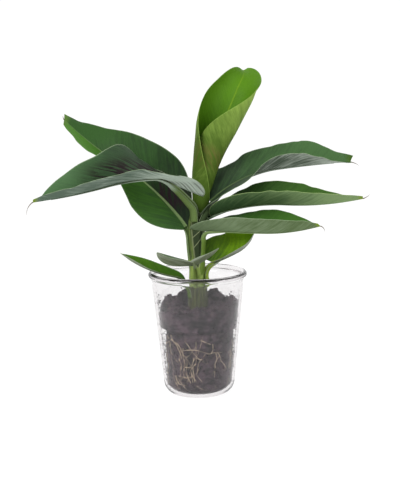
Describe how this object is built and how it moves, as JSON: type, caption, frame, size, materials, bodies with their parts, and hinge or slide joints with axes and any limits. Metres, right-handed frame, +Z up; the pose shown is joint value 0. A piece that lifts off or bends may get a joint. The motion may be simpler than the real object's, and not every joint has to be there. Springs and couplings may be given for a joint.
{
  "type": "banana plant in a glass vase",
  "caption": "Young banana plant with broad folded leaves and a rolled new leaf, rooted in peat inside a clear, slightly tapered glass vase.",
  "frame": {"origin": "centre of the glass vase's flat underside", "axes": "+Z up along the vase's axis, -Y towards the front of the plant, +X to the viewer's right"},
  "size_m": [0.2875, 0.1285, 0.2984],
  "materials": {
    "clear_glass": "clear, smooth",
    "peat": "crumbly, matt",
    "stem": "satin, wrapped sheaths",
    "leaf": "satin above, dull and paler below",
    "new_leaf": "satin"
  },
  "bodies": {
    "root": {"glass_vase": "clear_glass", "soil_plug": "peat", "pseudostem": "stem", "leaf_front_left": "leaf", "leaf_right_upper": "leaf", "leaf_new_rolled": "new_leaf", "leaf_right_middle": "leaf", "leaf_right_lower": "leaf", "leaf_back_left": "leaf", "leaf_right_small": "leaf", "leaf_left_small": "leaf", "leaf_front_small": "leaf"}
  },
  "joints": []
}
